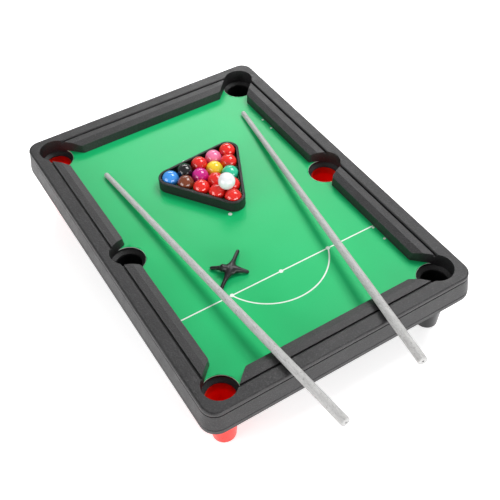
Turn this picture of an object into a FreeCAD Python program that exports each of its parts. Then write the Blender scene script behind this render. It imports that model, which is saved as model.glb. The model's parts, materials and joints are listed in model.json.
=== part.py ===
import FreeCAD, Part
import math
import os

# Mini pool table with its balls, rack, two cues and a rest head.
# Millimetres, +Z up. The origin is on the ground under the middle of the table,
# +Y runs along the table to the end where the balls are racked.

# ---- Table: outline and levels -------------------------------------------
RIM_WIDTH = 252.0            # outside of the rim, across the table (X)
RIM_LENGTH = 361.0           # outside of the rim, along the table (Y)
RIM_TOP = 70.0               # top of the rim above the ground
RIM_CORNER = 12.0            # outer corner radius of the rim
LIP_DEPTH = 4.2              # height of the rounded lip around the rim
LIP_ROUND = 2.0              # round along the lip's top edge
LIP_UNDER_ROUND = 0.4        # round along the lip's lower edge
SEAM_HEIGHT = 0.9            # narrow groove between the lip and the side wall
SEAM_DEPTH = 1.2
WALL_FLARE = 2.4             # the foot of the side wall stands out past the lip
WALL_FOOT = 19.8             # rim top down to the foot of the side wall
WALL_FOOT_CHAMFER = 0.7      # bevel that makes the shadow line over the base
SHELL = 2.2                  # wall thickness of the moulded frame
BAND_HEIGHT = 5.0            # visible band of the base below the side wall
BAND_ROUND = 0.8

# ---- Table: rim and cushions ---------------------------------------------
RIM_FLAT = 12.2              # top of the rim, outer lip to the groove
RIM_INNER_ROUND = 1.2        # round along the rim's inner edge
GROOVE_WIDTH = 1.9           # groove between the rim and the cushion
GROOVE_DEPTH = 2.8           # rim top down to the groove's floor
GROOVE_CORNER = 6.0
CUSHION_DROP = 0.8           # rim top down to the cushion's flat top
CUSHION_FLAT = 6.4           # flat part of the cushion, groove to crease
CUSHION_SLOPE = 6.4          # sloping part of the cushion, crease to nose
NOSE_DROP = 3.1              # rim top down to the nose edge
NOSE_LEAN = 1.1              # the nose face leans out this far at its foot
NOSE_CORNER = 3.0
JAW_ROUND = 3.0              # round where a cushion turns into a pocket
SHEET_DROP = 11.7            # rim top down to the playing surface

# ---- Pockets --------------------------------------------------------------
POCKET_RADIUS = 14.5
POCKET_MARGIN = 7.5          # rim left between a pocket and the outside
SIDE_JAW_SPREAD = 3.5        # a side pocket's half mouth is this much wider, at the nose
SHEET_HOLE_MARGIN = 1.1      # the holes in the sheet and the deck are this much larger
POCKET_WALL = 2.0            # wall left around each pocket in the frame

# ---- Playing sheet and base ----------------------------------------------
SHEET_THICKNESS = 0.8
SHEET_TUCK = 13.8            # how far the sheet runs in under the cushions
SHEET_CORNER = 3.0
DECK_THICKNESS = 2.0
DECK_GAP = 2.4               # between the deck's edge and the frame's wall
DECK_CORNER = 9.0
SKIRT = 2.0                  # wall under the deck's edge
RIB_WIDTH = 1.6
RIB_DEPTH = 3.0
CROSS_RIBS = 4
WELL_WALL = 2.0
WELL_DEPTH = 2.2             # straight part of a well under the deck's top
WELL_LEDGE_DROP = 2.4        # height of the sloping ledge inside a well
WELL_LEDGE_STEP = 0.4        # the ledge's opening is this much wider than the cup
LEDGE_THICKNESS = 1.3

# ---- Pocket cups, which are also the feet --------------------------------
CUP_WALL = 1.5
CUP_TOP_RADIUS = 13.7        # outside of the part that plugs into the base
CUP_FIT = 0.1                # clearance around that plug
CUP_FLANGE_WIDTH = 3.3       # how far the flange stands out from the plug
CUP_FLANGE_THICKNESS = 1.8
CUP_FOOT_RADIUS = 9.9
CUP_FOOT_ROUND = 1.3
CUP_FLOOR = 1.6

# ---- Screws that hold the frame to the base ------------------------------
SCREW_RADIUS = 1.3
SCREW_FIT = 0.05
SCREW_HEAD_RADIUS = 2.6
SCREW_HEAD_HEIGHT = 1.8
SCREW_HEAD_ROUND = 0.9
SCREW_HEAD_GAP = 0.3         # between a head and the skirt beside it
SCREW_CROSS_WIDTH = 0.7
SCREW_CROSS_LENGTH = 3.6
SCREW_CROSS_DEPTH = 0.9
SCREW_END_GAP = 1.0          # between a screw's end and the end of its bore
BORE_ROOF = 1.0              # left above a bore, besides the frame's shell
BOSS_RADIUS = 3.2
BOSS_PAD = 0.6               # thicker spot under the deck where a head seats
BOSS_ALONG = 71.0            # from the middle of a long side
BOSS_ACROSS = 45.0           # from the middle of a short side

# ---- Balls and rack -------------------------------------------------------
BALL_DIAMETER = 15.9
BALL_GAP = 0.25              # between neighbouring balls in the rack
REST_GAP = 0.05              # under anything that lies on the playing sheet
RACK_FIT = 0.7               # ball to rack
RACK_WALL = 2.45
RACK_HEIGHT = 11.0
RACK_EDGE = 0.7
RACK_CENTRE = (5.9, 47.2)
RACK_TURN = 4.4              # degrees, anticlockwise from above
RACK_ROWS = (
    ("ball_blue", "ball_black", "ball_red_1", "ball_pink", "ball_red_2"),
    ("ball_brown", "ball_purple", "ball_yellow", "ball_red_3"),
    ("ball_red_4", "ball_red_5", "ball_green"),
    ("ball_red_6", "ball_red_7"),
    ("ball_red_8",),
)

# ---- Cues -----------------------------------------------------------------
CUE_LENGTH = 349.0
CUE_TIP_DIAMETER = 4.8
CUE_BUTT_DIAMETER = 8.0
CUE_TIP_ROUND = 1.6
CUE_BUTT_CHAMFER = 0.6
CUE_HOLE_DIAMETER = 1.8      # small centre hole in the butt
CUE_HOLE_DEPTH = 4.0
CUE_GAP = 0.12               # under a cue where it leans on the rim
CUES = (                     # side, tip to the side cushion's nose, tip's Y, turn about Z
    ("cue_left", -1, 25.2, 109.4, 4.3),
    ("cue_right", 1, 14.9, 117.1, -8.85),
)

# ---- Rest head ------------------------------------------------------------
REST_BESIDE_CUE = 24.3       # across, from the middle of the left cue
REST_ALONG = -58.9           # Y of the rest head's middle
REST_ARMS = (                # direction in degrees, reach to the foot's centre
    (40.3, 22.6),
    (138.3, 15.4),
    (-40.0, 15.6),
    (-138.5, 20.6),
)
REST_HUB_RADIUS = 5.0
REST_HUB_THICKNESS = 4.6
REST_HUB_ROUND = 1.2
REST_HUB_HEIGHT = 5.2        # middle of the hub above the sheet
REST_ARM_START = 3.4         # inner end of each arm, inside the hub
REST_ARM_ROOT = 2.0          # arm radius at the hub
REST_ARM_END = 1.6           # arm radius at the foot
REST_ARM_STEPS = 7
REST_SOCKET_TURN = 165.0
REST_SOCKET_TILT = 28.0
REST_SOCKET_LENGTH = 10.0
REST_SOCKET_FLOOR = 4.5      # solid part of the socket, at the hub
REST_SOCKET_WALL = 1.2
REST_SOCKET_FIT = 0.2

# ---- Working allowances ---------------------------------------------------
CUT_PAST = 1.0               # a cutting body runs this far past what it cuts
OVERLAP = 0.5                # pieces that are fused overlap by this much
TOUCH = 0.01                 # two heights closer than this are the same

# ---- Levels and outlines worked out from the above -----------------------
rim_half_x = RIM_WIDTH / 2
rim_half_y = RIM_LENGTH / 2
wall_foot_z = RIM_TOP - WALL_FOOT
sheet_top = RIM_TOP - SHEET_DROP
sheet_bottom = sheet_top - SHEET_THICKNESS
deck_bottom = sheet_bottom - DECK_THICKNESS
band_bottom = wall_foot_z - BAND_HEIGHT
pocket_x = rim_half_x - POCKET_MARGIN - POCKET_RADIUS
pocket_y = rim_half_y - POCKET_MARGIN - POCKET_RADIUS
pocket_mouth_length = 3 * POCKET_RADIUS
sheet_hole_radius = POCKET_RADIUS + SHEET_HOLE_MARGIN
ledge_radius = CUP_TOP_RADIUS - CUP_WALL + WELL_LEDGE_STEP
groove_x = rim_half_x - RIM_FLAT
groove_y = rim_half_y - RIM_FLAT
crease_inset = RIM_FLAT + GROOVE_WIDTH + CUSHION_FLAT
nose_inset = crease_inset + CUSHION_SLOPE
nose_x = rim_half_x - nose_inset
nose_y = rim_half_y - nose_inset
nose_foot_x = nose_x - NOSE_LEAN
nose_foot_y = nose_y - NOSE_LEAN
foot_half_x = rim_half_x + WALL_FLARE
foot_half_y = rim_half_y + WALL_FLARE
deck_half_x = rim_half_x - SEAM_DEPTH - SHELL - DECK_GAP
deck_half_y = rim_half_y - SEAM_DEPTH - SHELL - DECK_GAP
ball_pitch = BALL_DIAMETER + BALL_GAP
ball_radius = BALL_DIAMETER / 2
boss_inset = SEAM_DEPTH + SHELL + DECK_GAP + SKIRT + SCREW_HEAD_GAP + SCREW_HEAD_RADIUS
bore_top = RIM_TOP - SHELL - BORE_ROOF


def pocket_centres():
    """The six pockets: name, x, y."""
    places = []
    for along, y in (("near", -pocket_y), ("middle", 0.0), ("far", pocket_y)):
        for side, x in (("left", -pocket_x), ("right", pocket_x)):
            places.append((along + "_" + side, x, y))
    return places


def screw_places():
    """Eight screws: four along the long sides, four along the short ones."""
    places = []
    for sx in (-1, 1):
        for sy in (-1, 1):
            places.append((sx * (rim_half_x - boss_inset), sy * BOSS_ALONG))
            places.append((sx * BOSS_ACROSS, sy * (rim_half_y - boss_inset)))
    return places


def rounded_wire(half_x, half_y, radius, z):
    """A rectangle with round corners, centred on the Z axis."""
    edges = []
    corners = ((1, 1, 0), (-1, 1, 90), (-1, -1, 180), (1, -1, 270))
    arcs = []
    for sx, sy, start in corners:
        centre = FreeCAD.Vector(sx * (half_x - radius), sy * (half_y - radius), z)
        circle = Part.Circle(centre, FreeCAD.Vector(0, 0, 1), radius)
        arc = circle.toShape(math.radians(start), math.radians(start + 90))
        arcs.append(arc)
    for i, arc in enumerate(arcs):
        following = arcs[(i + 1) % 4]
        edges.append(arc)
        edges.append(Part.makeLine(arc.lastVertex().Point, following.firstVertex().Point))
    return Part.Wire(edges)


def slab(half_x, half_y, radius, low, high):
    """A flat plate with round corners between two heights."""
    face = Part.Face(rounded_wire(half_x, half_y, radius, low))
    return face.extrude(FreeCAD.Vector(0, 0, high - low))


def spread_slab(low_size, high_size, low, high):
    """A block whose outline changes from one rounded rectangle to another."""
    bottom = rounded_wire(low_size[0], low_size[1], low_size[2], low)
    top = rounded_wire(high_size[0], high_size[1], high_size[2], high)
    return Part.makeLoft([bottom, top], True, True)


def cylinder(x, y, radius, low, high):
    return Part.makeCylinder(radius, high - low, FreeCAD.Vector(x, y, low))


def ring_of(points, x, y):
    """A closed (radius, height) outline turned about the vertical through x, y."""
    vectors = [FreeCAD.Vector(r, 0, z) for r, z in points]
    face = Part.Face(Part.makePolygon(vectors + vectors[:1]))
    solid = face.revolve(FreeCAD.Vector(0, 0, 0), FreeCAD.Vector(0, 0, 1), 360)
    solid.translate(FreeCAD.Vector(x, y, 0))
    return solid


def edges_at(shape, height):
    """Edges that lie flat at one height."""
    found = []
    for edge in shape.Edges:
        box = edge.BoundBox
        if abs(box.ZMin - height) < TOUCH and abs(box.ZMax - height) < TOUCH:
            found.append(edge)
    return found


# ---- The moulded frame ----------------------------------------------------
def keyhole(x, y, radius, spread, low, high):
    """A round well with a mouth towards the table's middle.

    The two sides of the mouth touch the well's circle, and each one leans
    outwards by the spread angle, in radians.
    """
    length = pocket_mouth_length
    towards_y = -math.copysign(1, y) if y else 0
    facing = math.atan2(towards_y, -math.copysign(1, x))
    touch = math.pi / 2 + spread
    outline = []
    for side in (1, -1):
        start = FreeCAD.Vector(radius * math.cos(touch), side * radius * math.sin(touch), low)
        end = start + FreeCAD.Vector(length * math.cos(spread), side * length * math.sin(spread), 0)
        outline.append((start, end))
    (start_a, end_a), (start_b, end_b) = outline
    back = FreeCAD.Vector(-radius, 0, low)
    edges = [
        Part.makeLine(end_b, end_a),
        Part.makeLine(end_a, start_a),
        Part.Arc(start_a, back, start_b).toShape(),
        Part.makeLine(start_b, end_b),
    ]
    hole = Part.Face(Part.Wire(edges)).extrude(FreeCAD.Vector(0, 0, high - low))
    hole.rotate(FreeCAD.Vector(0, 0, 0), FreeCAD.Vector(0, 0, 1), math.degrees(facing))
    hole.translate(FreeCAD.Vector(x, y, 0))
    return hole


def side_spread():
    """Lean of a side pocket's jaws, which reach its stated mouth at the nose."""
    back = pocket_x - nose_x
    half_mouth = POCKET_RADIUS + SIDE_JAW_SPREAD
    reach = math.hypot(back, half_mouth)
    return math.acos(POCKET_RADIUS / reach) - math.atan2(back, half_mouth)


def jaw_spread(name):
    """Corner pockets have parallel jaws; those of a side pocket open out."""
    return side_spread() if name.startswith("middle") else 0.0


def frame_outside():
    """The lip around the rim, the seam under it and the flared side wall."""
    lip_bottom = RIM_TOP - LIP_DEPTH
    wall_top = lip_bottom - SEAM_HEIGHT
    lip = slab(rim_half_x, rim_half_y, RIM_CORNER, lip_bottom, RIM_TOP)
    lip = lip.makeFillet(LIP_ROUND, edges_at(lip, RIM_TOP))
    lip = lip.makeFillet(LIP_UNDER_ROUND, edges_at(lip, lip_bottom))
    neck = slab(rim_half_x - SEAM_DEPTH, rim_half_y - SEAM_DEPTH, RIM_CORNER - SEAM_DEPTH,
                wall_top - OVERLAP, lip_bottom + OVERLAP)
    top = (rim_half_x, rim_half_y, RIM_CORNER)
    foot = (foot_half_x, foot_half_y, RIM_CORNER + WALL_FLARE)
    wall = spread_slab(foot, top, wall_foot_z, wall_top)
    wall = wall.makeChamfer(WALL_FOOT_CHAMFER, edges_at(wall, wall_foot_z))
    return lip.fuse([neck, wall])


def playing_opening():
    """Groove, space above the cushions, and space between their noses."""
    crease = (rim_half_x - crease_inset, rim_half_y - crease_inset, NOSE_CORNER)
    nose = (nose_x, nose_y, NOSE_CORNER)
    foot = (nose_foot_x, nose_foot_y, NOSE_CORNER)
    flat_z = RIM_TOP - CUSHION_DROP
    nose_z = RIM_TOP - NOSE_DROP
    groove_z = RIM_TOP - GROOVE_DEPTH
    groove = slab(groove_x, groove_y, GROOVE_CORNER, groove_z, RIM_TOP)
    groove = groove.cut(slab(groove_x - GROOVE_WIDTH, groove_y - GROOVE_WIDTH,
                             GROOVE_CORNER - GROOVE_WIDTH, groove_z - CUT_PAST, RIM_TOP + CUT_PAST))
    above = slab(groove_x, groove_y, GROOVE_CORNER, flat_z, RIM_TOP + CUT_PAST)
    over_slope = spread_slab(nose, crease, nose_z, flat_z)
    between = spread_slab(foot, nose, sheet_top, nose_z)
    below = slab(foot[0], foot[1], foot[2], wall_foot_z - CUT_PAST, sheet_top)
    return above.fuse([groove, over_slope, between, below])


def frame_cavity():
    """The hollow underside, which leaves a shell, pocket walls and bosses."""
    low = wall_foot_z - CUT_PAST
    foot = (foot_half_x - SHELL, foot_half_y - SHELL, RIM_CORNER)
    top = (rim_half_x - SEAM_DEPTH - SHELL, rim_half_y - SEAM_DEPTH - SHELL, RIM_CORNER - SHELL)
    whole = spread_slab(foot, top, low, RIM_TOP - SHELL)
    cushion_under = RIM_TOP - GROOVE_DEPTH - SHELL
    cushion = slab(groove_x + SHELL, groove_y + SHELL, GROOVE_CORNER, cushion_under, RIM_TOP)
    nose_wall = slab(nose_x + SHELL, nose_y + SHELL, NOSE_CORNER, sheet_top, cushion_under)
    cavity = whole.cut(cushion.fuse(nose_wall))
    kept = []
    for name, x, y in pocket_centres():
        outside = POCKET_RADIUS + POCKET_WALL
        kept.append(keyhole(x, y, outside, jaw_spread(name), sheet_top, RIM_TOP))
    for x, y in screw_places():
        kept.append(cylinder(x, y, BOSS_RADIUS, sheet_bottom, RIM_TOP))
    return cavity.cut(kept[0].fuse(kept[1:]))


def jaw_edges(quarter):
    """The leaning edges where a cushion's nose face meets a jaw."""
    found = []
    for edge in quarter.Edges:
        box = edge.BoundBox
        low_enough = abs(box.ZMin - sheet_top) < TOUCH
        high_enough = abs(box.ZMax - (RIM_TOP - NOSE_DROP)) < TOUCH
        inside_x = box.XMax < nose_x + TOUCH
        inside_y = box.YMax < nose_y + TOUCH
        off_centre = box.XMax > TOUCH and box.YMax > TOUCH
        if low_enough and high_enough and inside_x and inside_y and off_centre:
            found.append(edge)
    return found


def rim_inner_edges(quarter):
    """The straight edges of the rim's top along the groove."""
    found = []
    for edge in edges_at(quarter, RIM_TOP):
        box = edge.BoundBox
        along_y = abs(box.XMin - groove_x) < TOUCH and box.XLength < TOUCH
        along_x = abs(box.YMin - groove_y) < TOUCH and box.YLength < TOUCH
        if along_y or along_x:
            found.append(edge)
    return found


def four_quarters(quarter):
    """The whole from the quarter on the +X, +Y side."""
    origin = FreeCAD.Vector(0, 0, 0)
    half = quarter.fuse(quarter.mirror(origin, FreeCAD.Vector(1, 0, 0)))
    return half.fuse(half.mirror(origin, FreeCAD.Vector(0, 1, 0))).removeSplitter()


def build_top_frame():
    frame = frame_outside()
    frame = frame.cut(frame_cavity())
    frame = frame.cut(playing_opening())
    low = sheet_top - CUT_PAST
    high = RIM_TOP + CUT_PAST
    for name, x, y in pocket_centres():
        frame = frame.cut(keyhole(x, y, POCKET_RADIUS, jaw_spread(name), low, high))
    for x, y in screw_places():
        bore = cylinder(x, y, SCREW_RADIUS + SCREW_FIT, sheet_bottom - CUT_PAST, bore_top)
        frame = frame.cut(bore)
    quarter = frame.common(Part.makeBox(RIM_WIDTH, RIM_LENGTH, 2 * RIM_TOP)).removeSplitter()
    quarter = quarter.makeFillet(JAW_ROUND, jaw_edges(quarter))
    quarter = quarter.makeFillet(RIM_INNER_ROUND, rim_inner_edges(quarter))
    return largest(four_quarters(quarter))


# ---- Playing sheet --------------------------------------------------------
def build_playing_sheet():
    half_x = nose_foot_x + SHEET_TUCK
    half_y = nose_foot_y + SHEET_TUCK
    sheet = slab(half_x, half_y, SHEET_CORNER, sheet_bottom, sheet_top)
    for name, x, y in pocket_centres():
        hole = cylinder(x, y, sheet_hole_radius, sheet_bottom - CUT_PAST, sheet_top + CUT_PAST)
        sheet = sheet.cut(hole)
    return largest(sheet)


def largest(shape):
    """The biggest solid, without slivers that a cut leaves at the corners."""
    return max(shape.Solids, key=lambda solid: solid.Volume)


# ---- Base -----------------------------------------------------------------
def well(x, y):
    """A pocket well: straight mouth, sloping ledge, and a collar for the cup."""
    mouth = sheet_hole_radius
    ledge_top = sheet_bottom - WELL_DEPTH
    ledge_low = ledge_top - WELL_LEDGE_DROP
    socket_top = ledge_low - LEDGE_THICKNESS
    socket = CUP_TOP_RADIUS + CUP_FIT
    outline = (
        (mouth, sheet_bottom),
        (mouth, ledge_top),
        (ledge_radius, ledge_low),
        (ledge_radius, socket_top),
        (socket, socket_top),
        (socket, band_bottom),
        (socket + WELL_WALL, band_bottom),
        (socket + WELL_WALL, ledge_low),
        (mouth + WELL_WALL, ledge_top),
        (mouth + WELL_WALL, sheet_bottom),
    )
    return ring_of(outline, x, y)


def under_ribs():
    """Stiffening ribs under the deck, two along it and several across."""
    low = deck_bottom - RIB_DEPTH
    high = sheet_bottom - DECK_THICKNESS / 2
    inner_x = deck_half_x - SKIRT / 2
    inner_y = deck_half_y - SKIRT / 2
    ribs = []
    for x in (-pocket_x / 2, pocket_x / 2):
        corner = FreeCAD.Vector(x - RIB_WIDTH / 2, -inner_y, low)
        ribs.append(Part.makeBox(RIB_WIDTH, 2 * inner_y, high - low, corner))
    for i in range(CROSS_RIBS):
        y = pocket_y * (2 * i - CROSS_RIBS + 1) / CROSS_RIBS
        corner = FreeCAD.Vector(-inner_x, y - RIB_WIDTH / 2, low)
        ribs.append(Part.makeBox(2 * inner_x, RIB_WIDTH, high - low, corner))
    return ribs


def base_band():
    """The flange that the frame stands on, with its turned-down edge."""
    corner = RIM_CORNER + WALL_FLARE
    band = slab(foot_half_x, foot_half_y, corner, band_bottom, wall_foot_z)
    band = band.makeFillet(BAND_ROUND, edges_at(band, wall_foot_z) + edges_at(band, band_bottom))
    hollow = slab(foot_half_x - SKIRT, foot_half_y - SKIRT, corner - SKIRT,
                  band_bottom - CUT_PAST, wall_foot_z - SKIRT)
    middle = slab(deck_half_x - SKIRT, deck_half_y - SKIRT, DECK_CORNER - SKIRT,
                  band_bottom - CUT_PAST, wall_foot_z + CUT_PAST)
    return band.cut(hollow.fuse(middle))


def build_base_tray():
    deck = slab(deck_half_x, deck_half_y, DECK_CORNER, deck_bottom, sheet_bottom)
    skirt = slab(deck_half_x, deck_half_y, DECK_CORNER, wall_foot_z - SKIRT, sheet_bottom)
    skirt = skirt.cut(slab(deck_half_x - SKIRT, deck_half_y - SKIRT, DECK_CORNER - SKIRT,
                           wall_foot_z - SKIRT - CUT_PAST, sheet_bottom + CUT_PAST))
    pieces = [skirt, base_band()] + under_ribs()
    pad_bottom = deck_bottom - BOSS_PAD
    pieces += [cylinder(x, y, BOSS_RADIUS, pad_bottom, deck_bottom) for x, y in screw_places()]
    tray = deck.fuse(pieces)
    for name, x, y in pocket_centres():
        outside = CUP_TOP_RADIUS + CUP_FIT + WELL_WALL
        mouth = sheet_hole_radius + WELL_WALL
        tray = tray.cut(cylinder(x, y, mouth - OVERLAP, wall_foot_z, RIM_TOP))
        tray = tray.cut(cylinder(x, y, outside - OVERLAP, band_bottom - CUT_PAST, RIM_TOP))
        tray = tray.fuse(well(x, y))
    for x, y in screw_places():
        hole = cylinder(x, y, SCREW_RADIUS + SCREW_FIT, band_bottom, RIM_TOP)
        tray = tray.cut(hole)
    return largest(tray.removeSplitter())


# ---- Pocket cups ----------------------------------------------------------
def build_pocket_cup(x, y):
    """A tapered cup that plugs up into a well and stands on the ground."""
    top = sheet_bottom - WELL_DEPTH - WELL_LEDGE_DROP - LEDGE_THICKNESS
    flange_low = band_bottom - CUP_FLANGE_THICKNESS
    flange = CUP_TOP_RADIUS + CUP_FLANGE_WIDTH
    inner_top = CUP_TOP_RADIUS - CUP_WALL
    inner_foot = CUP_FOOT_RADIUS - CUP_WALL
    neck = inner_top + (inner_foot - inner_top) * (top - flange_low) / (top - CUP_FLOOR) + CUP_WALL
    outline = (
        (0, 0),
        (CUP_FOOT_RADIUS, 0),
        (neck, flange_low),
        (flange, flange_low),
        (flange, band_bottom),
        (CUP_TOP_RADIUS, band_bottom),
        (CUP_TOP_RADIUS, top),
        (inner_top, top),
        (inner_foot, CUP_FLOOR),
        (0, CUP_FLOOR),
    )
    cup = ring_of(outline, x, y)
    foot_edges = [e for e in edges_at(cup, 0.0) if e.BoundBox.XLength > CUP_FOOT_RADIUS]
    return cup.makeFillet(CUP_FOOT_ROUND, foot_edges)


# ---- Screws ---------------------------------------------------------------
def build_screw(x, y):
    """A pan-head screw driven up from under the deck."""
    seat = deck_bottom - BOSS_PAD
    head_bottom = seat - SCREW_HEAD_HEIGHT
    shank = cylinder(x, y, SCREW_RADIUS, seat, bore_top - SCREW_END_GAP)
    head = cylinder(x, y, SCREW_HEAD_RADIUS, head_bottom, seat)
    head = head.makeFillet(SCREW_HEAD_ROUND, edges_at(head, head_bottom))
    screw = head.fuse(shank)
    long, narrow = SCREW_CROSS_LENGTH, SCREW_CROSS_WIDTH
    for across, along in ((long, narrow), (narrow, long)):
        corner = FreeCAD.Vector(x - across / 2, y - along / 2, head_bottom - CUT_PAST)
        slot = Part.makeBox(across, along, CUT_PAST + SCREW_CROSS_DEPTH, corner)
        screw = screw.cut(slot)
    return screw


# ---- Rack and balls -------------------------------------------------------
def rack_place(across, along):
    """A point in the rack's own axes, turned and moved onto the table."""
    turn = math.radians(RACK_TURN)
    x = RACK_CENTRE[0] + across * math.cos(turn) - along * math.sin(turn)
    y = RACK_CENTRE[1] + across * math.sin(turn) + along * math.cos(turn)
    return x, y


def row_depth():
    return ball_pitch * math.sqrt(3) / 2


def ball_places():
    """Every racked ball: name, x, y. The first row is the far one."""
    places = []
    rows = len(RACK_ROWS)
    far = row_depth() * (rows - 1) / 3
    for i, row in enumerate(RACK_ROWS):
        for j, name in enumerate(row):
            across = ball_pitch * (j - (len(row) - 1) / 2)
            x, y = rack_place(across, far - i * row_depth())
            places.append((name, x, y))
    return places


def build_rack():
    """A triangular hoop with round corners, open above and below."""
    rows = len(RACK_ROWS)
    side = ball_pitch * (rows - 1)
    far = row_depth() * (rows - 1) / 3
    near = far - row_depth() * (rows - 1)
    low = sheet_top + REST_GAP
    corners = ((-side / 2, far), (0, near), (side / 2, far))
    points = [FreeCAD.Vector(x, y, low) for x, y in corners]
    core = Part.makePolygon(points + points[:1])
    inner = core.makeOffset2D(ball_radius + RACK_FIT)
    outer = core.makeOffset2D(ball_radius + RACK_FIT + RACK_WALL)
    up = FreeCAD.Vector(0, 0, RACK_HEIGHT)
    hoop = Part.Face(outer).extrude(up)
    hoop = hoop.makeFillet(RACK_EDGE, edges_at(hoop, low + RACK_HEIGHT))
    rack = hoop.cut(Part.Face(inner).extrude(up))
    rack.rotate(FreeCAD.Vector(0, 0, 0), FreeCAD.Vector(0, 0, 1), RACK_TURN)
    rack.translate(FreeCAD.Vector(RACK_CENTRE[0], RACK_CENTRE[1], 0))
    return rack


def build_ball(x, y, z):
    return Part.makeSphere(ball_radius, FreeCAD.Vector(x, y, z))


def cue_ball_centre():
    """On top of the three balls nearest the rack's point."""
    nest = [place for place in ball_places() if place[0] in RACK_ROWS[-2] + RACK_ROWS[-1]]
    x = sum(place[1] for place in nest) / len(nest)
    y = sum(place[2] for place in nest) / len(nest)
    reach = BALL_DIAMETER + BALL_GAP / 2
    rise = math.sqrt(reach ** 2 - ball_pitch ** 2 / 3)
    return x, y, sheet_top + REST_GAP + ball_radius + rise


# ---- Cues -----------------------------------------------------------------
def cue_tip_x(side, inset):
    return side * (nose_x - inset)


def build_cue(side, inset, tip_y, turn):
    """A tapered stick: its tip lies on the sheet, its shaft on the near rim."""
    tip_radius = CUE_TIP_DIAMETER / 2
    butt_radius = CUE_BUTT_DIAMETER / 2
    outline = (
        (0, 0),
        (tip_radius, 0),
        (butt_radius, CUE_LENGTH - CUE_BUTT_CHAMFER),
        (butt_radius - CUE_BUTT_CHAMFER, CUE_LENGTH),
        (0, CUE_LENGTH),
    )
    stick = ring_of(outline, 0, 0)
    stick = stick.makeFillet(CUE_TIP_ROUND, edges_at(stick, 0.0))
    hole = cylinder(0, 0, CUE_HOLE_DIAMETER / 2, CUE_LENGTH - CUE_HOLE_DEPTH, CUE_LENGTH + CUT_PAST)
    stick = stick.cut(hole)
    run = (tip_y + groove_y) / math.cos(math.radians(turn))
    shaft_radius = tip_radius + (butt_radius - tip_radius) * run / CUE_LENGTH
    tip_z = sheet_top + REST_GAP + tip_radius
    rise = RIM_TOP + CUE_GAP + shaft_radius - tip_z
    climb = math.degrees(math.atan2(rise, run))
    stick.rotate(FreeCAD.Vector(0, 0, 0), FreeCAD.Vector(1, 0, 0), 90 - climb)
    stick.rotate(FreeCAD.Vector(0, 0, 0), FreeCAD.Vector(0, 0, 1), turn)
    stick.translate(FreeCAD.Vector(cue_tip_x(side, inset), tip_y, tip_z))
    return stick


# ---- Rest head ------------------------------------------------------------
def rest_arm(angle, reach):
    """One arm: level out of the hub, then curving down to a round foot."""
    foot_z = REST_ARM_END + REST_GAP
    sections = []
    for step in range(REST_ARM_STEPS + 1):
        share = step / REST_ARM_STEPS
        height = foot_z + (REST_HUB_HEIGHT - foot_z) * (1 - share ** 2)
        radius = REST_ARM_ROOT + (REST_ARM_END - REST_ARM_ROOT) * share
        along = REST_ARM_START + (reach - REST_ARM_START) * share
        centre = FreeCAD.Vector(along, 0, height)
        sections.append(Part.Wire(Part.makeCircle(radius, centre, FreeCAD.Vector(1, 0, 0))))
    arm = Part.makeLoft(sections, True, True)
    foot = Part.makeSphere(REST_ARM_END, FreeCAD.Vector(reach, 0, foot_z))
    arm = arm.fuse(foot)
    arm.rotate(FreeCAD.Vector(0, 0, 0), FreeCAD.Vector(0, 0, 1), angle)
    return arm


def rest_centre_x():
    """Beside the left cue, at the rest head's place along the table."""
    name, side, inset, tip_y, turn = CUES[0]
    cue_x = cue_tip_x(side, inset) + (tip_y - REST_ALONG) * math.tan(math.radians(turn))
    return cue_x + REST_BESIDE_CUE


def rest_socket(outside, length):
    """A cylinder along the socket's axis, which leans up from the hub."""
    tilt = math.radians(REST_SOCKET_TILT)
    turn = math.radians(REST_SOCKET_TURN)
    axis = FreeCAD.Vector(math.cos(turn) * math.cos(tilt), math.sin(turn) * math.cos(tilt), math.sin(tilt))
    start = FreeCAD.Vector(0, 0, REST_HUB_HEIGHT)
    return Part.makeCylinder(outside, length, start, axis)


def build_rest_head():
    """A four-armed rest with a socket that a cue's tip pushes into."""
    half = REST_HUB_THICKNESS / 2
    hub = cylinder(0, 0, REST_HUB_RADIUS, REST_HUB_HEIGHT - half, REST_HUB_HEIGHT + half)
    rims = edges_at(hub, REST_HUB_HEIGHT - half) + edges_at(hub, REST_HUB_HEIGHT + half)
    hub = hub.makeFillet(REST_HUB_ROUND, rims)
    bore = CUE_TIP_DIAMETER / 2 + REST_SOCKET_FIT
    head = hub.fuse([rest_arm(angle, reach) for angle, reach in REST_ARMS])
    head = head.fuse(rest_socket(bore + REST_SOCKET_WALL, REST_SOCKET_LENGTH))
    mouth = rest_socket(bore, REST_SOCKET_LENGTH + CUT_PAST)
    floor = rest_socket(bore, REST_SOCKET_FLOOR)
    head = head.cut(mouth.cut(floor))
    head.translate(FreeCAD.Vector(rest_centre_x(), REST_ALONG, sheet_top))
    return largest(head.removeSplitter())


def write(name, shape):
    shape.exportStep(os.path.join("parts", name + ".step"))


os.makedirs("parts", exist_ok=True)
write("top_frame", build_top_frame())
write("playing_sheet", build_playing_sheet())
write("base_tray", build_base_tray())
write("base_screws", Part.makeCompound([build_screw(x, y) for x, y in screw_places()]))
for name, x, y in pocket_centres():
    write("pocket_cup_" + name, build_pocket_cup(x, y))
write("triangle_rack", build_rack())
for name, x, y in ball_places():
    write(name, build_ball(x, y, sheet_top + REST_GAP + ball_radius))
write("cue_ball", build_ball(*cue_ball_centre()))
for name, side, inset, tip_y, turn in CUES:
    write(name, build_cue(side, inset, tip_y, turn))
write("rest_head", build_rest_head())
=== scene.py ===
import bpy
import bmesh
import json
import math
from mathutils import Matrix, Vector


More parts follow.
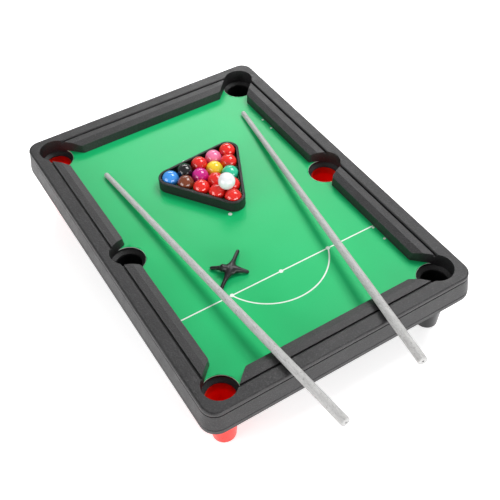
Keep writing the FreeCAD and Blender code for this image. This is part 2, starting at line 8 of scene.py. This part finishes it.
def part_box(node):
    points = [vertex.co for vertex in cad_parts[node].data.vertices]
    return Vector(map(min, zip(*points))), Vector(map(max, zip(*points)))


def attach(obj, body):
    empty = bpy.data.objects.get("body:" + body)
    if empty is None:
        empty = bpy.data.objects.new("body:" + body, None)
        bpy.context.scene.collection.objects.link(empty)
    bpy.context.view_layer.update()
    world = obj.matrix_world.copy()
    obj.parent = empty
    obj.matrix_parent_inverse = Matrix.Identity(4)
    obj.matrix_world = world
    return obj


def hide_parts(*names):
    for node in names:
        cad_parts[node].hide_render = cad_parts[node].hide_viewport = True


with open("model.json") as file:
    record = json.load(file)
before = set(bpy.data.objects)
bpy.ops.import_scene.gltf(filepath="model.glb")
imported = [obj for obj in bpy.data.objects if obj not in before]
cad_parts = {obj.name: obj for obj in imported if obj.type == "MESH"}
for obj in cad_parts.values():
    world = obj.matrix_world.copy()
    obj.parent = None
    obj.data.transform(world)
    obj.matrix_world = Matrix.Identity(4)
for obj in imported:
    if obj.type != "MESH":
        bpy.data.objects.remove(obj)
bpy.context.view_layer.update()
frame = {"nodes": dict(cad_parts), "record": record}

# Looks of the mini pool table. The CAD solids get their plastics and paints here,
# and the printed playing sheet and the moulded rest head get meshes of their own.
# Metres, +Z up, +Y towards the racked balls.
MM = 0.001

# ---- Camera and studio ----------------------------------------------------
CAMERA_AIM = Vector((-10.1, -49.1, 60.0)) * MM
CAMERA_DISTANCE = 694.6 * MM
CAMERA_AZIMUTH = 29.9            # degrees to the left of +Y, behind the near rim
CAMERA_ELEVATION = 47.5
CAMERA_ROLL = -2.52
CAMERA_LENS = 57.7
CAMERA_SENSOR = 36.0
CAMERA_CLIP = 0.01
FLOOR_SIZE = 30.0
FLOOR_TONE = 0.92
FLOOR_ROUGHNESS = 0.85
FLOOR_GLOW = 0.58                # a lit white sweep
WORLD_STRENGTH = 0.34
LIGHT_AIM = Vector((0.0, 0.0, 0.06))
LIGHTS = (                       # name, place, size, power
    ("key", (0.90, 0.02, 1.45), (0.8, 0.8), 17.0),
    ("far", (0.80, 1.20, 1.00), (0.8, 0.5), 7.0),
    ("veil", (0.30, 1.45, 1.15), (0.7, 0.4), 2.5),
    ("fill", (-1.25, -0.05, 0.42), (0.9, 0.6), 8.5),
    ("front", (0.15, -1.40, 0.32), (1.4, 0.4), 12.0),
)

# ---- Printed playing sheet ------------------------------------------------
SHEET_GRID = 3.0 * MM            # spacing of the points of the sheet's surface
SHEET_WAVE = 0.30 * MM           # how far its shallow waves dip
SHEET_SWELL = (17.0, 13.0)       # waves across and along, radians per metre
SHEET_RIPPLE = (9.0, 31.0)
SHEET_CRINKLE = (43.0, -12.0)
RIPPLE_SHARE = 0.5               # heights beside the swell's
CRINKLE_SHARE = 0.3
HOLE_RADIUS = 15.6 * MM          # cut-outs at the pockets
HOLE_SEGMENTS = 96
CUTTER_DEPTH = 6.0               # in thicknesses of the sheet
HOLE_EDGE = 0.15 * MM            # unprinted margin round each cut-out
LINE_HALF_WIDTH = 0.62 * MM
LINE_BLUR = 0.12 * MM
BAULK_LINE = 82.8 * MM           # from the centre spot to the line, towards -Y
BAULK_HALF_LENGTH = 97.5 * MM
D_RADIUS = 53.0 * MM
D_CENTRE = 61.7 * MM             # from the centre spot to the middle of the D's circle
SPOT_RADIUS = 1.9 * MM
SMALL_SPOT_RADIUS = 1.2 * MM
SPOTS = (                        # (x, y) on the sheet, mm
    (-48.5, -82.8), (0.0, -82.8), (48.5, -82.8), (-1.0, 0.0),
)
SMALL_SPOTS = ((96.4, 98.5), (96.4, 82.7), (96.4, -84.7), (96.4, -100.7), (-1.6, 87.1))

# ---- Rest head ------------------------------------------------------------
REST_MIDDLE = (-0.35, -2.3)      # hub from the middle of the solid's box, mm
REST_ARMS = (                    # direction in degrees, reach to the foot's centre in mm
    (44.4, 23.4),
    (134.9, 17.0),
    (-35.7, 14.1),
    (-143.4, 19.9),
)
REST_FOOT_RADIUS = 1.8
REST_ARM_RADIUS = 2.0
REST_ROOT_SWELL = 2.4            # extra radius where an arm leaves the hub
REST_SWELL_REACH = 7.0
REST_HUB = (6.4, 6.4, 2.9)       # half sizes of the hub, mm
REST_HUB_HEIGHT = 4.5
REST_STEP = 0.5                  # spacing of the balls that make an arm
REST_SOCKET_TURN = 158.0
REST_SOCKET_TILT = 24.0
REST_SOCKET_LENGTH = 9.0
REST_SOCKET_RADIUS = 3.4
REST_BORE_RADIUS = 2.5
REST_BORE_DEPTH = 5.5
REST_BORE_SPARE = 2.0            # the drill starts this far outside the socket
REST_VOXEL = 0.4
REST_SMOOTHING = 0.6
REST_SMOOTHINGS = 24
REST_SOCKET_SEGMENTS = 48

# ---- Colours and grain ----------------------------------------------------
FRAME_BLACK = (0.0135, 0.0129, 0.0138)
BASE_BLACK = (0.0140, 0.0136, 0.0144)
RACK_BLACK = (0.0050, 0.0048, 0.0052)
CUP_RED = (0.88, 0.018, 0.007)
CUP_BLACK = (0.008, 0.008, 0.009)
REST_BLACK = (0.008, 0.008, 0.009)
TABLE_GRAIN = 850.0              # cells of the moulded grain per metre
RACK_GRAIN = 1700.0
CUE_LEFT_TURN = 4.3              # how the sticks lie, degrees from +Y
CUE_RIGHT_TURN = -8.85
PAINT_LIGHT = (0.56, 0.556, 0.55)
PAINT_DARK = (0.40, 0.397, 0.39)
PAINT_SPECK = (0.17, 0.165, 0.16)
GREEN_LOW = (0.003, 0.480, 0.140)
GREEN_HIGH = (0.008, 0.545, 0.175)
GREEN_INK = (0.005, 0.43, 0.13)
PRINT_WHITE = (0.80, 0.86, 0.80)
CARD_LOW = (0.62, 0.66, 0.61)
CARD_HIGH = (0.84, 0.87, 0.83)
STEEL_LOW = (0.42, 0.43, 0.45)
STEEL_HIGH = (0.62, 0.62, 0.60)
BALL_COLOURS = {
    "ball_red": (0.80, 0.020, 0.014),
    "ball_blue": (0.050, 0.30, 0.84),
    "ball_black": (0.008, 0.008, 0.009),
    "ball_pink": (0.88, 0.20, 0.40),
    "ball_brown": (0.19, 0.042, 0.014),
    "ball_purple": (0.62, 0.012, 0.26),
    "ball_yellow": (0.94, 0.68, 0.030),
    "ball_green": (0.030, 0.56, 0.32),
    "cue_ball": (0.84, 0.85, 0.87),
}


def box_middle(name):
    low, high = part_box(name)
    return (Vector(low) + Vector(high)) / 2


# ---- Node helpers ---------------------------------------------------------
def new_material(name):
    """A node material with a Principled shader wired to the output."""
    material = bpy.data.materials.new(name)
    material.use_nodes = True
    nodes = material.node_tree.nodes
    nodes.clear()
    output = nodes.new("ShaderNodeOutputMaterial")
    shader = nodes.new("ShaderNodeBsdfPrincipled")
    material.node_tree.links.new(shader.outputs["BSDF"], output.inputs["Surface"])
    return material, shader


def wire(material, source, target):
    """Put a socket's value, or a plain number or vector, into an input."""
    if isinstance(source, bpy.types.NodeSocket):
        material.node_tree.links.new(source, target)
    else:
        target.default_value = source


def maths(material, operation, first, second=0.0):
    node = material.node_tree.nodes.new("ShaderNodeMath")
    node.operation = operation
    wire(material, first, node.inputs[0])
    wire(material, second, node.inputs[1])
    return node.outputs[0]


def place(material, turn=0.0, stretch=(1.0, 1.0, 1.0)):
    """Object coordinates, turned about Z and stretched."""
    coordinates = material.node_tree.nodes.new("ShaderNodeTexCoord").outputs["Object"]
    mapping = material.node_tree.nodes.new("ShaderNodeMapping")
    mapping.vector_type = "POINT"
    mapping.inputs["Rotation"].default_value = (0.0, 0.0, math.radians(turn))
    mapping.inputs["Scale"].default_value = stretch
    wire(material, coordinates, mapping.inputs["Vector"])
    return mapping.outputs["Vector"]


def noise(material, scale, detail=2.0, roughness=0.5, where=None):
    """A noise factor. The scale is in cells per metre."""
    texture = material.node_tree.nodes.new("ShaderNodeTexNoise")
    texture.inputs["Scale"].default_value = scale
    texture.inputs["Detail"].default_value = detail
    texture.inputs["Roughness"].default_value = roughness
    wire(material, where or place(material), texture.inputs["Vector"])
    return texture.outputs["Fac"]


def spread(material, factor, low, high, start=0.3, end=0.7):
    """Map a factor's middle range onto low to high."""
    node = material.node_tree.nodes.new("ShaderNodeMapRange")
    for name, value in (("From Min", start), ("From Max", end), ("To Min", low), ("To Max", high)):
        node.inputs[name].default_value = value
    wire(material, factor, node.inputs["Value"])
    return node.outputs["Result"]


def blend(material, factor, first, second):
    """A colour between two colours."""
    node = material.node_tree.nodes.new("ShaderNodeMix")
    node.data_type = "RGBA"
    wire(material, factor, node.inputs["Factor"])
    for source, target in ((first, node.inputs[6]), (second, node.inputs[7])):
        wire(material, source if isinstance(source, bpy.types.NodeSocket) else (*source, 1.0), target)
    return node.outputs[2]


def bump(material, shader, layers):
    """Stack bump layers of (height, distance, strength) onto a shader."""
    normal = None
    for height, distance, strength in layers:
        node = material.node_tree.nodes.new("ShaderNodeBump")
        node.inputs["Strength"].default_value = strength
        node.inputs["Distance"].default_value = distance
        wire(material, height, node.inputs["Height"])
        if normal:
            wire(material, normal, node.inputs["Normal"])
        normal = node.outputs["Normal"]
    wire(material, normal, shader.inputs["Normal"])


def shade(colour, factor):
    return tuple(min(1.0, channel * factor) for channel in colour)


# ---- Materials ------------------------------------------------------------
def grained_plastic(name, colour, roughness, grain):
    """Black moulded plastic with a spark-eroded grain and faint handling marks."""
    material, shader = new_material(name)
    clouds = noise(material, 38.0, 4.0, 0.6)
    grains = noise(material, grain, 2.0, 0.6)
    tone = blend(material, spread(material, clouds, 0.0, 1.0), shade(colour, 0.86), shade(colour, 1.16))
    flecks = spread(material, grains, 0.0, 0.8, 0.52, 0.72)
    wire(material, blend(material, flecks, tone, shade(colour, 3.2)), shader.inputs["Base Color"])
    gloss = spread(material, noise(material, 110.0, 3.0), roughness - 0.04, roughness + 0.06)
    wire(material, gloss, shader.inputs["Roughness"])
    bump(material, shader, ((clouds, 0.6 * MM, 0.2), (grains, 0.30 * MM, 1.0)))
    return material


def smooth_plastic(name, colour, roughness, glow_through=0.0):
    """Smooth moulded plastic with faint flow marks and fine scuffs."""
    material, shader = new_material(name)
    flow = noise(material, 85.0, 3.0)
    tone = blend(material, spread(material, flow, 0.0, 1.0), shade(colour, 0.90), shade(colour, 1.08))
    wire(material, tone, shader.inputs["Base Color"])
    scuffs = noise(material, 900.0, 3.0, 0.65)
    wire(material, spread(material, scuffs, roughness, roughness + 0.10), shader.inputs["Roughness"])
    if glow_through:
        shader.inputs["Subsurface Weight"].default_value = glow_through
        shader.inputs["Subsurface Radius"].default_value = (1.0, 0.12, 0.06)
        shader.inputs["Subsurface Scale"].default_value = 5.0 * MM
    bump(material, shader, ((flow, 0.15 * MM, 0.25), (scuffs, 0.01 * MM, 0.3)))
    return material


def ball_plastic(name, colour):
    """Polished ball: deep gloss with the faintest swirl in its colour."""
    material, shader = new_material(name)
    swirl = noise(material, 160.0, 3.0, 0.6)
    tone = blend(material, spread(material, swirl, 0.0, 1.0), shade(colour, 0.92), shade(colour, 1.06))
    wire(material, tone, shader.inputs["Base Color"])
    haze = noise(material, 700.0, 2.0)
    wire(material, spread(material, haze, 0.13, 0.20), shader.inputs["Roughness"])
    shader.inputs["Coat Weight"].default_value = 0.6
    shader.inputs["Coat Roughness"].default_value = 0.06
    bump(material, shader, ((swirl, 0.08 * MM, 0.15),))
    return material


def cue_paint(name, turn):
    """Silver-grey paint over a wooden stick: streaks and specks along its length."""
    material, shader = new_material(name)
    along = place(material, -turn, (1.0, 0.12, 1.0))
    streaks = noise(material, 900.0, 4.0, 0.65, along)
    specks = noise(material, 1500.0, 2.0, 0.5, place(material, -turn, (1.0, 0.4, 1.0)))
    base = blend(material, spread(material, streaks, 0.0, 1.0), PAINT_DARK, PAINT_LIGHT)
    dark = spread(material, specks, 0.0, 0.75, 0.58, 0.72)
    wire(material, blend(material, dark, base, PAINT_SPECK), shader.inputs["Base Color"])
    wire(material, spread(material, streaks, 0.50, 0.64), shader.inputs["Roughness"])
    shader.inputs["Metallic"].default_value = 0.15
    bump(material, shader, ((streaks, 0.05 * MM, 0.5), (specks, 0.04 * MM, 0.4)))
    return material


def plated_steel(name):
    """Zinc-plated screws: brushed, slightly blotchy."""
    material, shader = new_material(name)
    brushed = noise(material, 2200.0, 3.0, 0.6, place(material, 0.0, (1.0, 0.2, 1.0)))
    tone = blend(material, spread(material, brushed, 0.0, 1.0), STEEL_LOW, STEEL_HIGH)
    wire(material, tone, shader.inputs["Base Color"])
    wire(material, spread(material, brushed, 0.25, 0.42), shader.inputs["Roughness"])
    shader.inputs["Metallic"].default_value = 1.0
    bump(material, shader, ((brushed, 0.02 * MM, 0.4),))
    return material


def below(material, value, limit):
    """1 where the value is under the limit, with a soft edge."""
    return spread(material, value, 1.0, 0.0, limit - LINE_BLUR, limit + LINE_BLUR)


def distance_to(material, x, y, centre):
    """How far each point of the sheet is from a centre, seen from above."""
    across = maths(material, "SUBTRACT", x, centre[0])
    along = maths(material, "SUBTRACT", y, centre[1])
    across_squared = maths(material, "MULTIPLY", across, across)
    along_squared = maths(material, "MULTIPLY", along, along)
    return maths(material, "SQRT", maths(material, "ADD", across_squared, along_squared))


def baulk_line(material, x, y):
    from_line = maths(material, "ABSOLUTE", maths(material, "ADD", y, BAULK_LINE))
    on_line = below(material, from_line, LINE_HALF_WIDTH)
    within = below(material, maths(material, "ABSOLUTE", x), BAULK_HALF_LENGTH)
    return maths(material, "MULTIPLY", on_line, within)


def baulk_arc(material, x, y):
    """The D: the part of its circle on the near side of the baulk line."""
    from_centre = distance_to(material, x, y, (0.0, -D_CENTRE))
    from_arc = maths(material, "ABSOLUTE", maths(material, "SUBTRACT", from_centre, D_RADIUS))
    on_arc = below(material, from_arc, LINE_HALF_WIDTH)
    return maths(material, "MULTIPLY", on_arc, below(material, y, -BAULK_LINE))


def printed_spots(material, x, y):
    marks = []
    for places, radius in ((SPOTS, SPOT_RADIUS), (SMALL_SPOTS, SMALL_SPOT_RADIUS)):
        for spot in places:
            centre = (spot[0] * MM, spot[1] * MM)
            marks.append(below(material, distance_to(material, x, y, centre), radius))
    return marks


def cut_out_margins(material, x, y):
    """The unprinted rims of the six cut-outs, mirrored from two of them."""
    absolute_x = maths(material, "ABSOLUTE", x)
    absolute_y = maths(material, "ABSOLUTE", y)
    marks = []
    for node in ("pocket_cup_far_right", "pocket_cup_middle_right"):
        centre = box_middle(node)
        ring = distance_to(material, absolute_x, absolute_y, (centre.x, centre.y))
        marks.append(below(material, ring, HOLE_RADIUS + HOLE_EDGE))
    return marks


def printed_mask(material, x, y):
    """1 where the sheet is white."""
    marks = [baulk_line(material, x, y), baulk_arc(material, x, y)]
    marks += printed_spots(material, x, y)
    marks += cut_out_margins(material, x, y)
    total = marks[0]
    for mark in marks[1:]:
        total = maths(material, "MAXIMUM", total, mark)
    return total


def sheet_print(name):
    """Glossy printed card: green with its white markings."""
    material, shader = new_material(name)
    where = place(material)
    split = material.node_tree.nodes.new("ShaderNodeSeparateXYZ")
    wire(material, where, split.inputs[0])
    mask = printed_mask(material, split.outputs["X"], split.outputs["Y"])
    clouds = noise(material, 9.0, 3.0, 0.5, where)
    ink = noise(material, 1100.0, 2.0, 0.5, where)
    green = blend(material, spread(material, clouds, 0.0, 1.0), GREEN_LOW, GREEN_HIGH)
    green = blend(material, spread(material, ink, 0.0, 0.35), green, GREEN_INK)
    wire(material, blend(material, mask, green, PRINT_WHITE), shader.inputs["Base Color"])
    wire(material, spread(material, clouds, 0.30, 0.38), shader.inputs["Roughness"])
    shader.inputs["Specular IOR Level"].default_value = 0.35
    bump(material, shader, ((clouds, 2.5 * MM, 0.10), (ink, 0.02 * MM, 0.2)))
    return material


def card_core(name):
    """The sheet's white cut edge."""
    material, shader = new_material(name)
    fibres = noise(material, 1600.0, 3.0, 0.6, place(material, 0.0, (1.0, 1.0, 0.2)))
    tone = blend(material, spread(material, fibres, 0.0, 1.0), CARD_LOW, CARD_HIGH)
    wire(material, tone, shader.inputs["Base Color"])
    wire(material, spread(material, fibres, 0.6, 0.8), shader.inputs["Roughness"])
    bump(material, shader, ((fibres, 0.03 * MM, 0.5),))
    return material


def make_materials():
    """One material for each slot of the record."""
    materials = {
        "frame_plastic": grained_plastic("frame_plastic", FRAME_BLACK, 0.42, TABLE_GRAIN),
        "base_plastic": grained_plastic("base_plastic", BASE_BLACK, 0.48, TABLE_GRAIN),
        "rack_plastic": grained_plastic("rack_plastic", RACK_BLACK, 0.46, RACK_GRAIN),
        "screw_steel": plated_steel("screw_steel"),
        "cup_red": smooth_plastic("cup_red", CUP_RED, 0.26, glow_through=0.85),
        "cup_black": smooth_plastic("cup_black", CUP_BLACK, 0.26),
        "rest_plastic": smooth_plastic("rest_plastic", REST_BLACK, 0.33),
        "green_sheet": sheet_print("green_sheet"),
        "cue_stick": cue_paint("cue_stick", CUE_LEFT_TURN),
    }
    for slot, colour in BALL_COLOURS.items():
        materials[slot] = ball_plastic(slot, colour)
    return materials


def dress_cad_nodes(materials):
    """Every CAD node gets the material of its slot; the right cue has its own turn."""
    for part in frame["record"]["subparts"]:
        mesh = frame["nodes"][part["node"]].data
        mesh.materials.clear()
        mesh.materials.append(materials[part["material_slot"]])
    right_cue = frame["nodes"]["cue_right"].data
    right_cue.materials[0] = cue_paint("cue_stick_right", CUE_RIGHT_TURN)


# ---- Playing sheet --------------------------------------------------------
def sheet_dip(x, y):
    """How far the card dips at a point: long shallow waves, never above the flat."""
    swell = math.sin(SHEET_SWELL[0] * x + 1.3) * math.cos(SHEET_SWELL[1] * y - 0.4)
    ripple = RIPPLE_SHARE * math.sin(SHEET_RIPPLE[1] * y + SHEET_RIPPLE[0] * x)
    crinkle = CRINKLE_SHARE * math.cos(SHEET_CRINKLE[0] * x + SHEET_CRINKLE[1] * y)
    tallest = 1.0 + RIPPLE_SHARE + CRINKLE_SHARE
    return SHEET_WAVE * (0.5 + 0.5 * (swell + ripple + crinkle) / tallest)


def mesh_object(name, bm):
    mesh = bpy.data.meshes.new(name)
    bm.to_mesh(mesh)
    bm.free()
    piece = bpy.data.objects.new(name, mesh)
    bpy.context.collection.objects.link(piece)
    return piece


def apply_modifiers(piece):
    """Replace the piece's mesh by the result of its modifiers."""
    depsgraph = bpy.context.evaluated_depsgraph_get()
    finished = bpy.data.meshes.new_from_object(piece.evaluated_get(depsgraph))
    piece.modifiers.clear()
    piece.data = finished


def pocket_names():
    return [node for node in frame["nodes"] if node.startswith("pocket_cup_")]


def subtract(piece, cutter):
    """Cut one object out of another and remove the cutter."""
    cut = piece.modifiers.new("cut", "BOOLEAN")
    cut.operation = "DIFFERENCE"
    cut.solver = "EXACT"
    cut.object = cutter
    apply_modifiers(piece)
    bpy.data.objects.remove(cutter)


def hole_cutter(low, high):
    """Six upright cylinders, one at each pocket."""
    bm = bmesh.new()
    depth = CUTTER_DEPTH * (high.z - low.z)
    for node in pocket_names():
        centre = box_middle(node)
        centre.z = (low.z + high.z) / 2
        bmesh.ops.create_cone(bm, cap_ends=True, segments=HOLE_SEGMENTS, radius1=HOLE_RADIUS,
                              radius2=HOLE_RADIUS, depth=depth, matrix=Matrix.Translation(centre))
    return mesh_object("hole_cutter", bm)


def sheet_slab(low, high):
    """A flat slab with a grid of faces on its top and bottom."""
    size = high - low
    bm = bmesh.new()
    bmesh.ops.create_grid(bm, x_segments=round(size.x / SHEET_GRID),
                          y_segments=round(size.y / SHEET_GRID), size=0.5)
    bmesh.ops.scale(bm, vec=(size.x, size.y, 1.0), verts=bm.verts)
    solid = bmesh.ops.extrude_face_region(bm, geom=bm.faces[:])
    lifted = [item for item in solid["geom"] if isinstance(item, bmesh.types.BMVert)]
    bmesh.ops.translate(bm, vec=(0.0, 0.0, size.z), verts=lifted)
    bmesh.ops.translate(bm, vec=((low.x + high.x) / 2, (low.y + high.y) / 2, low.z), verts=bm.verts)
    bmesh.ops.recalc_face_normals(bm, faces=bm.faces)
    return mesh_object("printed_sheet", bm)


def dip_top(mesh, half_way):
    """Let the upper side of the sheet dip in its waves."""
    for vertex in mesh.vertices:
        if vertex.co.z > half_way:
            vertex.co.z -= sheet_dip(vertex.co.x, vertex.co.y)


def finish_sheet_faces(mesh):
    """Smooth printed sides, and the card's own white on every cut edge."""
    for polygon in mesh.polygons:
        lies_flat = abs(polygon.normal.z) > 0.5
        polygon.use_smooth = lies_flat
        polygon.material_index = 0 if lies_flat else 1


def build_sheet(materials):
    low, high = [Vector(corner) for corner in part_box("playing_sheet")]
    sheet = sheet_slab(low, high)
    subtract(sheet, hole_cutter(low, high))
    dip_top(sheet.data, (low.z + high.z) / 2)
    sheet.data.materials.clear()
    sheet.data.materials.append(materials["green_sheet"])
    sheet.data.materials.append(card_core("card_core"))
    finish_sheet_faces(sheet.data)
    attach(sheet, "table")
    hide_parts("playing_sheet")


# ---- Rest head ------------------------------------------------------------
def add_ball(bm, centre, radius, squash=(1.0, 1.0, 1.0)):
    """A ball, or an ellipsoid, in millimetres from the hub."""
    size = Matrix.Diagonal((*squash, 1.0))
    matrix = Matrix.Translation(Vector(centre) * MM) @ size
    bmesh.ops.create_icosphere(bm, subdivisions=2, radius=radius * MM, matrix=matrix)


def add_arm(bm, angle, reach):
    """A chain of balls from the hub down to a round foot."""
    steps = round(reach / REST_STEP)
    heading = math.radians(angle)
    for step in range(steps + 1):
        share = step / steps
        along = reach * share
        height = REST_FOOT_RADIUS + (REST_HUB_HEIGHT - REST_FOOT_RADIUS) * (1 - share ** 2)
        swell = REST_ROOT_SWELL * math.exp(-(along / REST_SWELL_REACH) ** 2)
        radius = REST_ARM_RADIUS + (REST_FOOT_RADIUS - REST_ARM_RADIUS) * share + swell
        add_ball(bm, (along * math.cos(heading), along * math.sin(heading), height), radius)


def socket_axis():
    """The way the rod would leave the head: outwards and slightly up."""
    turn = math.radians(REST_SOCKET_TURN)
    tilt = math.radians(REST_SOCKET_TILT)
    return Vector((math.cos(turn) * math.cos(tilt), math.sin(turn) * math.cos(tilt), math.sin(tilt)))


def add_tube(bm, radius, start, end):
    """A straight cylinder on the socket's axis, between two distances from the hub."""
    axis = socket_axis()
    middle = Vector((0, 0, REST_HUB_HEIGHT)) + axis * (start + end) / 2
    turn = axis.to_track_quat("Z", "Y").to_matrix().to_4x4()
    matrix = Matrix.Translation(middle * MM) @ turn
    bmesh.ops.create_cone(bm, cap_ends=True, segments=REST_SOCKET_SEGMENTS, radius1=radius * MM,
                          radius2=radius * MM, depth=(end - start) * MM, matrix=matrix)


def rough_head():
    """Arms, hub and socket as overlapping balls and a tube."""
    bm = bmesh.new()
    for angle, reach in REST_ARMS:
        add_arm(bm, angle, reach)
    flat = [size / REST_HUB[0] for size in REST_HUB]
    add_ball(bm, (0, 0, REST_HUB_HEIGHT), REST_HUB[0], flat)
    add_tube(bm, REST_SOCKET_RADIUS, 0.0, REST_SOCKET_LENGTH)
    return mesh_object("rest_spider", bm)


def melt_together(head):
    """Join the overlapping forms into one skin and smooth it."""
    melt = head.modifiers.new("melt", "REMESH")
    melt.mode = "VOXEL"
    melt.voxel_size = REST_VOXEL * MM
    soften = head.modifiers.new("soften", "SMOOTH")
    soften.factor = REST_SMOOTHING
    soften.iterations = REST_SMOOTHINGS
    apply_modifiers(head)


def socket_drill():
    bm = bmesh.new()
    bore_floor = REST_SOCKET_LENGTH - REST_BORE_DEPTH
    add_tube(bm, REST_BORE_RADIUS, bore_floor, REST_SOCKET_LENGTH + REST_BORE_SPARE)
    return mesh_object("socket_drill", bm)


def seat_head(head):
    """Move the head to its place, with its feet on the level of the CAD solid's."""
    middle = box_middle("rest_head")
    lowest = min(vertex.co.z for vertex in head.data.vertices)
    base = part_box("rest_head")[0][2]
    shift = Vector((middle.x + REST_MIDDLE[0] * MM, middle.y + REST_MIDDLE[1] * MM, base - lowest))
    head.data.transform(Matrix.Translation(shift))


def build_rest_head(materials):
    head = rough_head()
    melt_together(head)
    subtract(head, socket_drill())
    seat_head(head)
    for polygon in head.data.polygons:
        polygon.use_smooth = True
    head.data.materials.clear()
    head.data.materials.append(materials["rest_plastic"])
    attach(head, "rest_head_body")
    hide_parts("rest_head")


# ---- Studio ---------------------------------------------------------------
def build_floor():
    bm = bmesh.new()
    bmesh.ops.create_grid(bm, x_segments=1, y_segments=1, size=FLOOR_SIZE / 2)
    floor = mesh_object("floor", bm)
    material, shader = new_material("floor_white")
    shader.inputs["Base Color"].default_value = (FLOOR_TONE, FLOOR_TONE, FLOOR_TONE, 1.0)
    shader.inputs["Roughness"].default_value = FLOOR_ROUGHNESS
    shader.inputs["Emission Color"].default_value = (1.0, 1.0, 1.0, 1.0)
    shader.inputs["Emission Strength"].default_value = FLOOR_GLOW
    floor.data.materials.append(material)


def add_light(name, spot, size, power):
    data = bpy.data.lights.new(name, "AREA")
    data.shape = "RECTANGLE"
    data.size, data.size_y = size
    data.energy = power
    lamp = bpy.data.objects.new(name, data)
    bpy.context.collection.objects.link(lamp)
    lamp.location = spot
    aim = LIGHT_AIM - Vector(spot)
    lamp.rotation_euler = aim.to_track_quat("-Z", "Y").to_euler()


def build_studio():
    scene = bpy.context.scene
    scene.view_settings.view_transform = "Standard"
    scene.world = bpy.data.worlds.new("studio")
    scene.world.use_nodes = True
    background = scene.world.node_tree.nodes["Background"]
    background.inputs["Color"].default_value = (1.0, 1.0, 1.0, 1.0)
    background.inputs["Strength"].default_value = WORLD_STRENGTH
    for name, spot, size, power in LIGHTS:
        add_light(name, spot, size, power)


def build_camera():
    data = bpy.data.cameras.new("camera")
    data.lens = CAMERA_LENS
    data.sensor_width = CAMERA_SENSOR
    data.clip_start = CAMERA_CLIP
    camera = bpy.data.objects.new("camera", data)
    bpy.context.collection.objects.link(camera)
    azimuth = math.radians(CAMERA_AZIMUTH)
    elevation = math.radians(CAMERA_ELEVATION)
    level = math.cos(elevation)
    back = Vector((-math.sin(azimuth) * level, -math.cos(azimuth) * level, math.sin(elevation)))
    camera.location = CAMERA_AIM + back * CAMERA_DISTANCE
    roll = Matrix.Rotation(math.radians(CAMERA_ROLL), 3, "Z").to_quaternion()
    camera.rotation_mode = "QUATERNION"
    camera.rotation_quaternion = (-back).to_track_quat("-Z", "Y") @ roll
    bpy.context.scene.camera = camera


def main():
    materials = make_materials()
    dress_cad_nodes(materials)
    build_sheet(materials)
    build_rest_head(materials)
    build_floor()
    build_studio()
    build_camera()


main()
